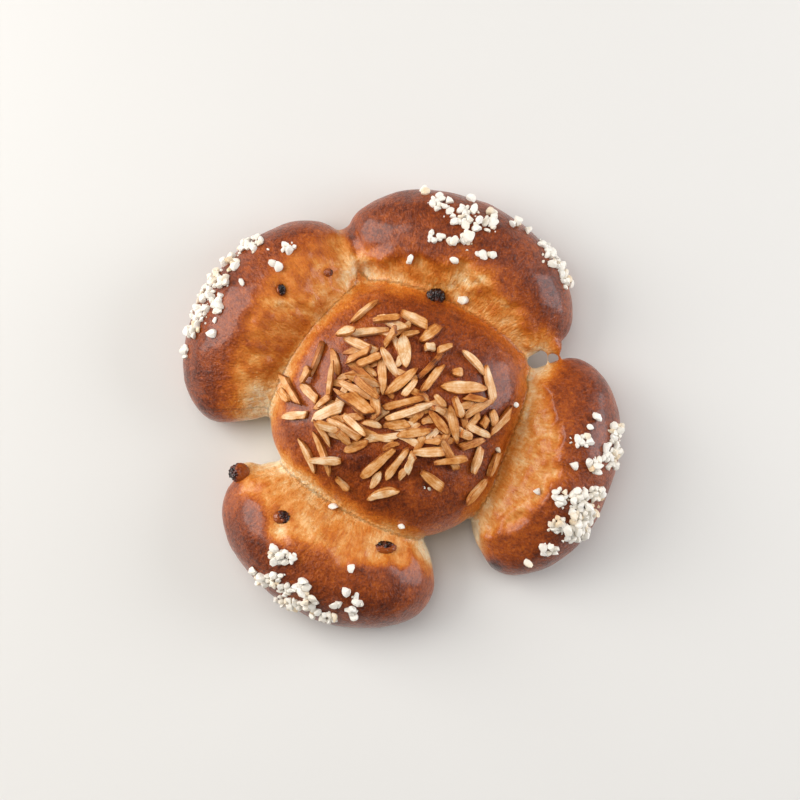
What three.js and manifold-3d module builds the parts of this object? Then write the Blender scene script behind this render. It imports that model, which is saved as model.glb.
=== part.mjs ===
// King cake: one tall round bun with four bean-shaped buns baked onto it, topped
// with toasted almond slivers, grains of pearl sugar and raisins.
// Millimetres, +Z up. The origin is on the flat base, under the middle of the cake,
// and angles are degrees around +Z, counted from +X towards +Y.

import * as THREE from "three";
import { mergeVertices } from "three/addons/utils/BufferGeometryUtils.js";
import Module from "manifold-3d";

const wasm = await Module();
wasm.setup();

// ---- driving dimensions ----

const gap = 0.3;

const centreBun = { radius: 64, height: 50, equator: 20, drop: 24 };

// Where each outer bun has pressed the round one flat: its angle, and how deep.
const pressSpread = 29;
const presses = [
  { angle: 64, depth: 8 },
  { angle: 144, depth: 4.5 },
  { angle: 242, depth: 7.5 },
  { angle: -22, depth: 11 },
];

// The four outer buns: heading and half span around the cake, ring radius and half
// width across it, and lean, how far the end at the larger angle swings outwards.
const outerBuns = [
  { heading: 146, halfSpan: 38.5, ring: 80, halfWidth: 31, height: 41, lean: 1 },
  { heading: 65.5, halfSpan: 43, ring: 79, halfWidth: 28.5, height: 39, lean: 2 },
  { heading: -22, halfSpan: 39, ring: 80, halfWidth: 28.5, height: 40, lean: -1 },
  { heading: 241.5, halfSpan: 39.5, ring: 79.5, halfWidth: 30.5, height: 41, lean: 1 },
];
const outerEquator = 14;
const outerDrop = 17;

// How much lower an outer bun is at its inner edge, where the round bun's rise
// pulled it open.
const inwardSlope = 0.25;

// How square a bun is: 1 is an ellipse, and less is squarer. The side that faces
// the round bun is squarer, because the dough spread along it.
const outwardSquareness = 0.83;
const inwardSquareness = 0.6;
const footSquareness = 0.5;

// A thread of dough still joins two buns that pulled apart in the oven, a web of
// dough fills the crease where two others grew together, and a knob of it holds the
// raisin that sticks out at the tip of the last bun.
const doughStrand = { x: 74.5, y: 26, z: 20, radiusX: 2, radiusY: 8.5, radiusZ: 5 };
const doughWeb = { x: -23, y: 72, z: 8, radiusX: 13, radiusY: 18, radiusZ: 19 };
const doughKnob = { x: -74.5, y: -31.5, z: 13, radiusX: 7, radiusY: 6, radiusZ: 9 };

// Raisins: place, rise of the middle over the crust, half sizes and heading.
const raisins = [
  { x: 16.5, y: 54, rise: 0.6, long: 4.2, wide: 3.7, tall: 3, heading: 20 },
  { x: -78, y: -30.5, rise: 0, long: 4.8, wide: 4.3, tall: 4, heading: 160 },
  { x: -57, y: -51.5, rise: -0.8, long: 4.2, wide: 2.8, tall: 2.6, heading: 150 },
  { x: -8, y: -66, rise: -1.1, long: 5, wide: 2.6, tall: 2.6, heading: 10 },
  { x: -57, y: 56.5, rise: -0.8, long: 3.8, wide: 2.8, tall: 2.6, heading: 70 },
  { x: -35, y: 65, rise: -0.4, long: 2.3, wide: 2, tall: 1.9, heading: 0 },
];

// Almond slivers in the order they fell: x, y, heading, length, width and cut.
const sliverThickness = 2.8;
const almondSlivers = [
  [-17, 45, 43, 18, 2.6, "crescent"],
  [-15, 36, 5, 19, 3.6, "stick"],
  [-5, 39, -35, 13, 4.4, "stick"],
  [-19, 30, -24, 17, 4, "stick"],
  [-39, 23, 74, 18, 2.8, "stick"],
  [-52, 9, -53, 19, 3.4, "stick"],
  [-43, 8, -46, 12, 4, "stick"],
  [-31, 22, -76, 14, 4, "lens"],
  [-18, 17, -41, 18, 3.8, "stick"],
  [-9, 16, -85, 19, 4.4, "lens"],
  [-21, 9, -24, 19, 4, "stick"],
  [-12, 3, -84, 14, 4, "stick"],
  [-25, 2, -43, 21, 3.4, "crescent"],
  [-50, -3, 3, 14, 3.6, "stick"],
  [-34, -1, 18, 17, 5.6, "slice"],
  [-27, -9, -30, 18, 4, "stick"],
  [-21, -17, 23, 13, 5, "lens"],
  [-45, -22, -69, 19, 3.6, "crescent"],
  [-38, -21, -71, 23, 3.6, "crescent"],
  [-11, -25, 42, 21, 4.4, "stick"],
  [-2, -25, 53, 18, 3.6, "stick"],
  [-8, -41, 20, 17, 4.6, "crescent"],
  [14, -33, -40, 14, 4.4, "stick"],
  [35, -39, 45, 16, 4.8, "lens"],
  [43, -26, 63, 12, 4.2, "stick"],
  [35, -24, 72, 13, 3.8, "stick"],
  [46, -6, 37, 15, 4.2, "slice"],
  [22, -21, -60, 17, 4, "stick"],
  [12, -20, 2, 15, 4, "stick"],
  [6, -11, 6, 17, 4.6, "lens"],
  [1, 3, 15, 20, 3.6, "stick"],
  [17, -6, -52, 15, 4.4, "lens"],
  [24, -7, -77, 19, 4.2, "lens"],
  [29, 10, 1, 22, 6.2, "lens"],
  [36, -1, 28, 17, 4.6, "crescent"],
  [41, 12, -75, 17, 3.8, "stick"],
  [33, 21, -47, 16, 3.8, "crescent"],
  [14, 20, 49, 18, 2.8, "stick"],
  [0, 13, 40, 20, 4.8, "lens"],
  [1, 27, -80, 16, 6.6, "lens"],
  [13, 35, 42, 13, 4.4, "stick"],
  [6, 42, -28, 14, 4.6, "stick"],
];

// The biggest lumps of pearl sugar: x, y and half size.
const sugarLumps = [
  [-81, 70, 2.1],
  [-90, 53, 2.2],
  [34, 94, 2.1],
  [31, 81, 2.3],
  [43, 88, 2],
  [71, 69, 2.1],
  [92, -4, 2],
  [83, -57, 2.3],
  [-66, -79, 2.3],
  [-47, -86, 2.1],
];

// How uneven a raisin and a lump of sugar are, as a share of their size. A lump is
// a little flat, sits in the crust by what is left of its seat, and each is turned.
const raisinUnevenness = 0.07;
const lumpUnevenness = 0.16;
const lumpFlatness = 0.85;
const lumpSeat = 0.75;
const lumpTurn = 40;

// Facets around and from pole to pole.
const centreFacets = [44, 22];
const outerFacets = [36, 18];
const strandFacets = [10, 8];
const webFacets = [24, 14];
const knobFacets = [14, 10];
const raisinFacets = [14, 9];

// The table that the cake was baked on cuts its base flat.
const tableBlock = { side: 300, depth: 100 };

// ---- solids ----

function toSolid(geometry) {
  const bare = geometry.index ? geometry.toNonIndexed() : geometry.clone();
  bare.deleteAttribute("normal");
  bare.deleteAttribute("uv");
  const merged = mergeVertices(bare, 1e-4);
  const mesh = new wasm.Mesh({
    numProp: 3,
    vertProperties: new Float32Array(merged.attributes.position.array),
    triVerts: new Uint32Array(merged.index.array),
  });
  return new wasm.Manifold(mesh);
}

function toGeometry(solid) {
  const mesh = solid.getMesh();
  const geometry = new THREE.BufferGeometry();
  geometry.setAttribute("position", new THREE.BufferAttribute(mesh.vertProperties, 3));
  geometry.setIndex(new THREE.BufferAttribute(mesh.triVerts, 1));
  geometry.computeVertexNormals();
  return geometry;
}

function power(value, exponent) {
  return Math.sign(value) * Math.abs(value) ** exponent;
}

// A ball whose vertices are handed to place(across, along, up), each from -1 to 1.
function shapedBall(facets, inward, outward, place) {
  const geometry = new THREE.SphereGeometry(1, ...facets);
  geometry.rotateX(Math.PI / 2);
  const position = geometry.attributes.position;
  for (let i = 0; i < position.count; i += 1) {
    const flat = Math.hypot(position.getX(i), position.getY(i));
    const up = position.getZ(i);
    const vertical = up < 0 ? footSquareness : 1;
    const reach = flat < 1e-6 ? 0 : flat ** vertical;
    const squareness = position.getX(i) < 0 ? inward : outward;
    const across = power(position.getX(i) / (flat || 1), squareness) * reach;
    const along = power(position.getY(i) / (flat || 1), squareness) * reach;
    const point = place(across, along, power(up, vertical));
    position.setXYZ(i, point.x, point.y, point.z);
  }
  return toSolid(geometry);
}

function heightOf(up, equator, top, drop) {
  return equator + up * (up > 0 ? top - equator : drop);
}

// The smallest turn in degrees from one heading to another.
function turnBetween(angle, other) {
  const turn = THREE.MathUtils.euclideanModulo(angle - other, 360);
  return Math.min(turn, 360 - turn);
}

function centreRadius(angle) {
  return presses.reduce((radius, press) => {
    const turn = turnBetween(angle, press.angle);
    return radius - press.depth * Math.exp(-((turn / pressSpread) ** 2));
  }, centreBun.radius);
}

function makeCentreBun() {
  return shapedBall(centreFacets, 1, 1, (across, along, up) => {
    const angle = THREE.MathUtils.radToDeg(Math.atan2(along, across));
    const radius = centreRadius(angle);
    const z = heightOf(up, centreBun.equator, centreBun.height, centreBun.drop);
    return new THREE.Vector3(across * radius, along * radius, z);
  });
}

function makeOuterBun(bun) {
  return shapedBall(outerFacets, inwardSquareness, outwardSquareness, (across, along, up) => {
    const angle = THREE.MathUtils.degToRad(bun.heading + along * bun.halfSpan);
    const radius = bun.ring + across * bun.halfWidth + along * bun.lean;
    const slope = 1 - inwardSlope * Math.max(-across, 0);
    const z = heightOf(up > 0 ? up * slope : up, outerEquator, bun.height, outerDrop);
    return new THREE.Vector3(radius * Math.cos(angle), radius * Math.sin(angle), z);
  });
}

function makeBlob(blob, facets) {
  const geometry = new THREE.SphereGeometry(1, ...facets);
  geometry.scale(blob.radiusX, blob.radiusY, blob.radiusZ);
  geometry.translate(blob.x, blob.y, blob.z);
  return toSolid(geometry);
}

// The point and outward direction of a surface straight below (x, y).
function surfaceAt(surface, x, y) {
  const start = new THREE.Vector3(x, y, 2 * centreBun.height);
  const ray = new THREE.Raycaster(start, new THREE.Vector3(0, 0, -1));
  const hit = ray.intersectObject(surface)[0];
  return { point: hit.point, normal: hit.face.normal };
}

// A raisin is a lumpy ball. With clearance it is the pit that it sits in.
function raisinGeometry(raisin, z, clearance) {
  const geometry = new THREE.SphereGeometry(1, ...raisinFacets);
  const position = geometry.attributes.position;
  for (let i = 0; i < position.count; i += 1) {
    const x = position.getX(i);
    const y = position.getY(i);
    const up = position.getZ(i);
    const swell = 1 + raisinUnevenness * Math.sin(5 * x + 3 * up) * Math.cos(4 * y);
    position.setXYZ(
      i,
      x * (raisin.long * swell + clearance),
      y * (raisin.wide * swell + clearance),
      up * (raisin.tall * swell + clearance),
    );
  }
  geometry.rotateZ(THREE.MathUtils.degToRad(raisin.heading));
  geometry.translate(raisin.x, raisin.y, z);
  return geometry;
}

function makeDough() {
  let dough = makeCentreBun();
  dough = dough.add(makeBlob(doughStrand, strandFacets));
  dough = dough.add(makeBlob(doughWeb, webFacets));
  dough = dough.add(makeBlob(doughKnob, knobFacets));
  for (const bun of outerBuns) {
    dough = dough.add(makeOuterBun(bun));
  }
  const table = new THREE.BoxGeometry(tableBlock.side, tableBlock.side, tableBlock.depth);
  table.translate(0, 0, -tableBlock.depth / 2);
  return dough.subtract(toSolid(table));
}

// ---- toppings ----

// Seen from above: a stick is sawn off, a slice has one pointed end, a lens two, and
// a crescent is a lens bent round the kernel's side.
function sliverOutline(length, width, cut) {
  const end = length / 2;
  const side = width / 2;
  const shape = new THREE.Shape();
  if (cut === "stick") {
    shape.moveTo(-end, -side * 0.8);
    shape.lineTo(end - side, -side);
    shape.lineTo(end, side * 0.6);
    shape.lineTo(end - side * 0.5, side);
    shape.lineTo(-end + side * 0.5, side);
    shape.closePath();
    return shape;
  }
  if (cut === "slice") {
    shape.moveTo(-end, 0);
    shape.quadraticCurveTo(-end, -side * 1.2, 0, -side);
    shape.lineTo(end, -side * 0.5);
    shape.lineTo(end * 0.9, side);
    shape.quadraticCurveTo(-end * 0.8, side * 1.2, -end, 0);
    return shape;
  }
  const belly = cut === "crescent" ? width * 1.6 : width;
  const back = cut === "crescent" ? width * 0.2 : -side * 0.9;
  shape.moveTo(-end, 0);
  shape.quadraticCurveTo(0, back - side, end, 0);
  shape.quadraticCurveTo(0, belly, -end, 0);
  return shape;
}

function sliverGeometry(length, width, cut) {
  const settings = { depth: sliverThickness, bevelEnabled: false, curveSegments: 4 };
  return new THREE.ExtrudeGeometry(sliverOutline(length, width, cut), settings);
}

function lumpGeometry(size, seed) {
  const geometry = new THREE.IcosahedronGeometry(size, 1);
  const position = geometry.attributes.position;
  for (let i = 0; i < position.count; i += 1) {
    const x = position.getX(i);
    const y = position.getY(i);
    const z = position.getZ(i);
    const wave = Math.sin(2.1 * x + seed) * Math.cos(1.7 * y - 1.3 * z + seed);
    const swell = 1 + lumpUnevenness * wave;
    position.setXYZ(i, x * swell, y * swell, z * swell * lumpFlatness);
  }
  return geometry;
}

// ---- assembly ----

const group = new THREE.Group();

const crust = new THREE.MeshStandardMaterial({ color: 0x9a5220, roughness: 0.4, metalness: 0 });
const almond = new THREE.MeshStandardMaterial({ color: 0xdba868, roughness: 0.6, metalness: 0 });
const sugar = new THREE.MeshStandardMaterial({ color: 0xebe6de, roughness: 0.5, metalness: 0 });
const raisinSkin = new THREE.MeshStandardMaterial({ color: 0x1e120e, roughness: 0.35, metalness: 0 });

function addPiece(name, geometry, material) {
  const piece = new THREE.Mesh(geometry, material);
  piece.name = name;
  group.add(piece);
  return piece;
}

function numbered(name, index) {
  return `${name}_${String(index + 1).padStart(2, "0")}`;
}

const dough = makeDough();
const doughSurface = new THREE.Mesh(toGeometry(dough));
const raisinHeights = raisins.map(({ x, y, rise }) => surfaceAt(doughSurface, x, y).point.z + rise);

let breadSolid = dough;
raisins.forEach((raisin, index) => {
  const pit = toSolid(raisinGeometry(raisin, raisinHeights[index], gap));
  breadSolid = breadSolid.subtract(pit);
});
const bread = addPiece("bread", toGeometry(breadSolid), crust);

const laid = [breadSolid];
raisins.forEach((raisin, index) => {
  const geometry = raisinGeometry(raisin, raisinHeights[index], 0);
  addPiece(numbered("raisin", index), geometry, raisinSkin);
  laid.push(toSolid(geometry));
});

const upwards = new THREE.Vector3(0, 0, 1);
const sunkStart = -1.2;
const liftStep = 0.15;
const highestLift = 15;

// A piece may lie as steep as the crust, or be propped up flatter by what is below.
const propping = [0, 0.35, 0.7];

function placedSolid(piece, point, normal, lift) {
  piece.position.copy(point).addScaledVector(normal, lift);
  piece.updateMatrix();
  return toSolid(piece.geometry.clone().applyMatrix4(piece.matrix));
}

function turnPiece(piece, normal, heading) {
  const upright = new THREE.Quaternion().setFromUnitVectors(upwards, normal);
  const angle = THREE.MathUtils.degToRad(heading);
  const turn = new THREE.Quaternion().setFromAxisAngle(upwards, angle);
  piece.quaternion.copy(upright).multiply(turn);
}

// The least lift along the normal that clears the bread and all that lies on it.
function freeLift(piece, point, normal, limit) {
  for (let lift = sunkStart; lift < limit; lift += liftStep) {
    const solid = placedSolid(piece, point, normal, lift);
    if (laid.every((other) => other.intersect(solid).isEmpty())) {
      return lift;
    }
  }
  return Infinity;
}

// Lays a piece at whichever tilt lets it lie lowest, and leaves the gap under it.
function lay(piece, x, y, heading) {
  const { point, normal } = surfaceAt(bread, x, y);
  let best = { lift: highestLift, normal };
  for (const prop of propping) {
    const tilted = normal.clone().lerp(upwards, prop).normalize();
    turnPiece(piece, tilted, heading);
    const lift = freeLift(piece, point, tilted, best.lift);
    if (lift < best.lift) {
      best = { lift, normal: tilted };
    }
  }
  turnPiece(piece, best.normal, heading);
  laid.push(placedSolid(piece, point, best.normal, best.lift + gap));
}

almondSlivers.forEach(([x, y, heading, length, width, cut], index) => {
  const name = numbered("almond_sliver", index);
  lay(addPiece(name, sliverGeometry(length, width, cut), almond), x, y, heading);
});

sugarLumps.forEach(([x, y, size], index) => {
  const geometry = lumpGeometry(size, index).translate(0, 0, size * lumpSeat);
  lay(addPiece(numbered("sugar_lump", index), geometry, sugar), x, y, lumpTurn * index);
});

export default group;
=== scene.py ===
import math
import random

import bmesh
import bpy
import numpy as np
from mathutils import Matrix, Vector, noise
from mathutils.bvhtree import BVHTree


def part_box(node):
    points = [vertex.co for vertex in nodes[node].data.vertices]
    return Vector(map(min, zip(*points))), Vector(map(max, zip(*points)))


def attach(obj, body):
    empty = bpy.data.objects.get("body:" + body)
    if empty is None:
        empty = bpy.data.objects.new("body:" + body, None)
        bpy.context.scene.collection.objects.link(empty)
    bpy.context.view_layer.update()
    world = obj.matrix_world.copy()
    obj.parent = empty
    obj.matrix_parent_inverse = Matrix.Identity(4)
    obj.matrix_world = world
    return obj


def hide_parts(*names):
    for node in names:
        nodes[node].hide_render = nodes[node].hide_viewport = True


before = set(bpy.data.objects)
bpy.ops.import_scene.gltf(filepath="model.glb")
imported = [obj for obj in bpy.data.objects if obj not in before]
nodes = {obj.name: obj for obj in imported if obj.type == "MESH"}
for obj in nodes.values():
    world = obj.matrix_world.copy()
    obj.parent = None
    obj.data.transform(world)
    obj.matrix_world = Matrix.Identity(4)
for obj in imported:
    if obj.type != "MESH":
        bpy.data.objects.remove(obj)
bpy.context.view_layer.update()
mm = 0.001  # the scene is in metres, and the numbers below are millimetres


def named(start):
    return sorted(name for name in nodes if name.startswith(start))


def hexColor(text):  # sRGB hex to linear
    parts = [int(text[i:i + 2], 16) / 255 for i in (0, 2, 4)]
    return (*(c / 12.92 if c <= 0.04045 else ((c + 0.055) / 1.055) ** 2.4 for c in parts), 1.0)


def addNode(tree, kind, settings=None, links=None):
    # a lower-case word sets the node itself, stops fill its ramp, the rest are its inputs;
    # a link comes from a socket, or from another node's first output
    node = tree.nodes.new(kind)
    for key, value in (settings or {}).items():
        if key == "stops":
            ramp = node.color_ramp.elements
            while len(ramp) < len(value):
                ramp.new(0.5)
            for stop, (place, color) in zip(ramp, value):
                stop.position = place
                stop.color = hexColor(color)
        elif isinstance(key, str) and key[0].islower():
            setattr(node, key, value)
        else:
            node.inputs[key].default_value = value
    for key, source in (links or {}).items():
        tree.links.new(getattr(source, "outputs", [source])[0], node.inputs[key])
    return node


def newMaterial(name):
    material = bpy.data.materials.new(name)
    material.use_nodes = True
    material.node_tree.nodes.clear()
    return material, material.node_tree


def smoothStep(low, high, value):
    t = np.clip((value - low) / (high - low), 0, 1)
    return t * t * (3 - 2 * t)


def lumps(points, size, seed, octaves=2):
    # smooth noise from about -1 to 1, with bumps about size millimetres across
    shift = Vector((seed * 17.3, seed * 5.1, seed * 9.7))
    return np.array([noise.fractal(Vector(p) / size + shift, 1.0, 2.0, octaves) for p in points])


def addObject(name, data):
    thing = bpy.data.objects.new(name, data)
    bpy.context.scene.collection.objects.link(thing)
    return thing


def meshPiece(name, vertices, faces, material):
    mesh = bpy.data.meshes.new(name)
    mesh.from_pydata([tuple(v) for v in vertices], [], faces)
    mesh.materials.append(material)
    mesh.polygons.foreach_set("use_smooth", [True] * len(mesh.polygons))
    mesh.update()
    return addObject(name, mesh)


def frozenPiece(name, holder):
    # the holder as its modifiers show it, as a piece of its own
    view = bpy.context.evaluated_depsgraph_get()
    mesh = bpy.data.meshes.new_from_object(holder.evaluated_get(view))
    mesh.name = name
    mesh.polygons.foreach_set("use_smooth", [True] * len(mesh.polygons))
    bpy.data.objects.remove(holder)
    return addObject(name, mesh)


def storeFloat(mesh, name, values):
    mesh.attributes.new(name, "FLOAT", "POINT").data.foreach_set("value", values.astype(np.float32))


def storeVector(mesh, name, values):
    data = mesh.attributes.new(name, "FLOAT_VECTOR", "POINT").data
    data.foreach_set("vector", values.astype(np.float32).ravel())


# bread: five buns of egg-washed yeast dough that grew into one while they baked

dough = {
    "centreRadius": 64, "centreHeight": 50, "centreEquator": 20, "centreDrop": 24,
    "pressSpread": 29,
    "presses": ((64, 8), (144, 4.5), (242, 7.5), (-22, 11)),  # angle, depth
    "outerEquator": 14, "outerDrop": 17, "inwardSlope": 0.25,
    "outward": 0.83, "inward": 0.6, "foot": 0.5,  # 1 is an ellipse, less is squarer
    "columns": 180, "rows": 90,  # quads round each ball of dough, and from its foot to its top
    "threadBeads": 15, "threadFlare": 2.2,  # balls in a thread, and how much thicker its ends are
    "voxel": 1.1,
    "seamScale": 28,  # turns the gauges' difference into rough mm to the next bun
    "crease": 0.6,  # how deep the seams are pulled in
    "fold": 1.7,  # how strong the lift and the tone in crustFolds are, the tone being browning with painted shade and highlights
}
# mm that the crust is lifted by noise, by the edge of the brown skin, and inside the golden band
crustLift = {"broad": 0.8, "middle": 0.32, "small": 0.1, "ridge": 0.9,
             "bandRopes": 0.85, "bandMiddle": 0.8, "bandSmall": 0.36, "bandSunk": 0.9}
# how brown each part is, from 0, cream, to 1, almost black, and what takes from that or adds to it; one term
# paints light on the round bun's left and shade on its right
crustTone = {
    "band": 0.46, "bandMiddle": 0.12, "bandRopes": 0.07, "bandInner": 0.06, "skin": 0.26, "top": 0.1,
    "centre": 0.75, "centrePaintedSideLight": 0.001, "centreRim": 0.54, "rimHeading": 215, "rimShare": 0.66,
    "outerSeam": 0.09, "centreSeam": 0.05, "outerLow": 0.18, "centreLow": 0.34, "foot": 0.22,
    "cream": 0.9, "ends": 0.55, "broad": 0.07,
}
# tear is where across a bun its stretched inner band ends and the brown skin starts, and
# tearTurn and tearBend move that along the bun; lip is how much the skin stands up there, and
# gold how much browner the band is
outerBuns = (
    {"heading": 146, "halfSpan": 38.5, "ring": 80, "halfWidth": 31, "height": 41, "lean": 1,
     "tear": 0.16, "tearTurn": -0.3, "tearBend": -0.12, "lip": 0.7, "gold": 0.02},
    {"heading": 65.5, "halfSpan": 43, "ring": 79, "halfWidth": 28.5, "height": 39, "lean": 2,
     "tear": -0.22, "tearTurn": 0.0, "tearBend": -0.1, "lip": 1.8, "gold": -0.01},
    {"heading": -22, "halfSpan": 39, "ring": 80, "halfWidth": 28.5, "height": 40, "lean": -1,
     "tear": -0.1, "tearTurn": -0.1, "tearBend": -0.35, "lip": 1.9, "gold": -0.11},
    {"heading": 241.5, "halfSpan": 39.5, "ring": 79.5, "halfWidth": 30.5, "height": 41, "lean": 1,
     "tear": -0.12, "tearTurn": -0.2, "tearBend": 0.08, "lip": 0.6, "gold": -0.06},
)
# balls of dough that join the buns: centre, half sizes
doughBlobs = (
    ((-23, 72, 8), (13, 18, 19)), ((-74.5, -31.5, 13), (7, 6, 9)),
    ((72.5, 32, 16), (4, 5, 7)), ((79, 18, 15), (6, 4.5, 6)),
    ((60.5, 28, 14), (4, 3, 6)), ((60.5, 17.5, 14), (4, 3, 6)), ((56.5, 22.5, 15), (4.5, 7, 10)),
)
# threads of dough across the gap between two buns: start, end, radius at the waist
doughThreads = (((74.2, 30, 19), (78.5, 18.5, 18), 1.15), ((70.3, 29.5, 18), (71.2, 17, 17), 0.9))
# pale spots where dough without egg wash shows: x, y, reach, strength
creamSpots = (
    (-20, 69, 9, 0.75), (-15, 63, 7, 0.75), (-33, 58, 5, 0.5), (-29, 62, 6, 0.6), (-7, 65, 6, 0.5),
    (-70, 2, 11, 1.0), (-66, -27, 7, 0.7), (-59, -31, 5, 0.6), (14, -66, 8, 0.7), (35, -55, 8, 0.8),
    (38, -46, 6, 0.5), (66, 18, 7, 0.9), (67, 29, 7, 0.8), (-58, -57.5, 5.5, 1.0), (-44, -44, 4, 0.35),
    (-9, -71, 3.5, 0.7), (-62, -44, 4, 0.4), (60, 22, 6, 0.8), (-72, -36, 4, 0.5), (30, 60, 7, 0.45),
    (37, 61, 6, 0.5), (25, 65, 5, 0.3), (-61, 51, 3.5, 0.4),
)
# single marks in the crust: x, y, reach, lift, browning, which also paints shade in pits and highlights on
# raised lumps
crustMarks = (
    (-57, 56.5, 5, -2.4, 0.14), (-57, -51.5, 5, -1.2, 0.1), (-58.5, -57, 4, -1.8, 0),
    (-7.5, -66.8, 5.5, -2.2, 0.1), (-35, 65, 3, 0.5, 0.25), (-29.5, 61.5, 4, -2.2, -0.1),
    (-18, 64, 4, -2, 0.05), (16.5, 53, 5, -0.8, 0.05),
    (-20, -27, 10, 0, 0.16), (-22, -24, 3, 0.9, 0.05), (-15, -31, 3, -0.9, 0.05), (-26, -30, 2.5, 0.8, 0),
    (-8, 70, 3, 0.6, 0), (-61.5, 15.4, 6, -0.7, 0.14), (-63, 28, 9, 0, 0.08),
    (-72.3, -36, 4, 0.8, 0.08), (-54, -32, 3, 1, 0), (-36, -36.6, 2.2, 0.9, 0.05),
    (-31.7, -39.8, 2.4, 0.9, 0),
    (12.4, -37.5, 3.5, -2.4, 0.12), (44, -76.6, 5, 0, 0.5), (-93, 61, 3, 0, 0.4), (42, 66, 4, 0.9, -0.1),
    # raised lumps on the upper right bun, lightened with painted highlights
    (48, 52, 3.5, 1, -0.1), (56, 45, 4, 1.1, -0.12), (25, 62, 4, 0.8, -0.08), (33, 57, 3, 0.9, -0.1),
)
# folds and creases where the dough was pulled: start, end, half width, lift, browning, which also paints
# shade into the crease and highlights on raised folds
crustFolds = (
    # the crease between the two upper buns, sunk and darkened with painted shade
    ((-26, 88), (-22, 75), 1.6, -1.4, 0.12), ((-22, 75), (-18, 63), 1.4, -1.8, 0.1),
    # raised folds, lightened with painted highlights along them
    ((-46, 54), (-43, 51), 1.4, 1.2, -0.06), ((-43, 51), (-40, 40), 1.4, 1.5, -0.08),
    # the rim of a burst bubble, and the lip of the pit that holds a raisin
    ((-24.5, 61), (-26, 66), 1.2, 1.1, 0.02), ((-26, 66), (-31, 67), 1.2, 1, 0.04),
    ((-24.5, 61), (-28, 56), 1.2, 1, 0.02), ((-28, 56), (-34, 58), 1.2, 0.9, 0.02),
    ((-60.5, 56), (-58, 51), 1.3, 1.3, -0.1), ((-58, 51), (-52, 50), 1.3, 0.9, -0.08),
    ((31, 67), (37, 62), 1.3, 0.8, -0.12), ((37, 62), (42, 59), 1.3, 0.8, -0.1),
    ((52, 44), (48, 52), 1.4, 1.0, -0.08), ((57, 31), (54, 41), 1.3, 0.8, -0.06),
    ((61, 31), (63, 41), 1.3, 0.7, -0.05), ((67, 33), (70, 42), 1.3, 0.6, -0.04),
    ((-39, -60), (-36, -66), 1.3, 0.8, -0.1), ((-46, -53), (-41, -61), 1.3, 0.6, -0.05),
    ((-52, -64), (-47, -66), 1.3, 0.8, -0.08), ((65, -16), (68, -23), 1.3, 0.7, -0.05),
    ((71, -7), (71, -19), 1.8, 0.9, 0), ((62, -42), (48, -53), 1.9, 1.0, 0),
)


def signedPower(value, exponent):
    return np.sign(value) * np.abs(value) ** exponent


def ballGrid(columns, rows):
    # a closed ball of quads, as unit points and faces
    turn = np.arange(columns) * 2 * np.pi / columns
    points = [(0, 0, -1)]
    for tilt in np.linspace(-np.pi / 2, np.pi / 2, rows + 1)[1:-1]:
        points += [(np.cos(tilt) * np.cos(a), np.cos(tilt) * np.sin(a), np.sin(tilt)) for a in turn]
    points.append((0, 0, 1))
    top = len(points) - 1
    faces = []
    for i in range(columns):
        j = (i + 1) % columns
        faces.append((0, 1 + j, 1 + i))
        faces.append((top, top - columns + i, top - columns + j))
        for row in range(rows - 2):
            a = 1 + row * columns
            faces.append((a + i, a + j, a + columns + j, a + columns + i))
    return np.array(points, float), faces


def shapedBall(grid, inward, outward):
    # across, along and up, each from -1 to 1
    flat = np.hypot(grid[:, 0], grid[:, 1])
    vertical = np.where(grid[:, 2] < 0, dough["foot"], 1.0)
    reach = flat ** vertical
    square = np.where(grid[:, 0] < 0, inward, outward)
    safe = np.maximum(flat, 1e-9)
    across = signedPower(grid[:, 0] / safe, square) * reach
    along = signedPower(grid[:, 1] / safe, square) * reach
    return across, along, signedPower(grid[:, 2], vertical)


def turnBetween(angle, other):
    return (angle - other + 540) % 360 - 180


def centreRadius(angle):
    radius = np.full_like(angle, dough["centreRadius"])
    for press, depth in dough["presses"]:
        radius -= depth * np.exp(-(turnBetween(angle, press) / dough["pressSpread"]) ** 2)
    return radius


def innerSlope(across):  # an outer bun is lower at its inner edge
    return 1 - dough["inwardSlope"] * np.clip(-across, 0, 1)


def makeShells():
    grid, faces = ballGrid(dough["columns"], dough["rows"])
    across, along, up = shapedBall(grid, 1, 1)
    radius = centreRadius(np.degrees(np.arctan2(along, across)))
    rise = np.where(up > 0, dough["centreHeight"] - dough["centreEquator"], dough["centreDrop"])
    shells = [np.stack((across * radius, along * radius, dough["centreEquator"] + up * rise), 1)]
    for bun in outerBuns:
        across, along, up = shapedBall(grid, dough["inward"], dough["outward"])
        angle = np.radians(bun["heading"] + along * bun["halfSpan"])
        radius = bun["ring"] + across * bun["halfWidth"] + along * bun["lean"]
        rise = (bun["height"] - dough["outerEquator"]) * innerSlope(across)
        z = dough["outerEquator"] + up * np.where(up > 0, rise, dough["outerDrop"])
        shells.append(np.stack((radius * np.cos(angle), radius * np.sin(angle), z), 1))
    for centre, half in doughBlobs:
        shells.append(grid * half + centre)
    for start, end, waist in doughThreads:
        for t in np.linspace(0, 1, dough["threadBeads"]):  # thick where it leaves a bun, thin in the middle
            radius = waist * (1 + dough["threadFlare"] * (2 * t - 1) ** 4)
            shells.append(grid * radius + np.array(start) * (1 - t) + np.array(end) * t)
    points = np.concatenate(shells)
    points[:, 2] = np.maximum(points[:, 2], 0)  # flat where it stood on the baking sheet
    step = len(grid)
    allFaces = [tuple(i + k * step for i in face) for k in range(len(shells)) for face in faces]
    return points, allFaces


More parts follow.
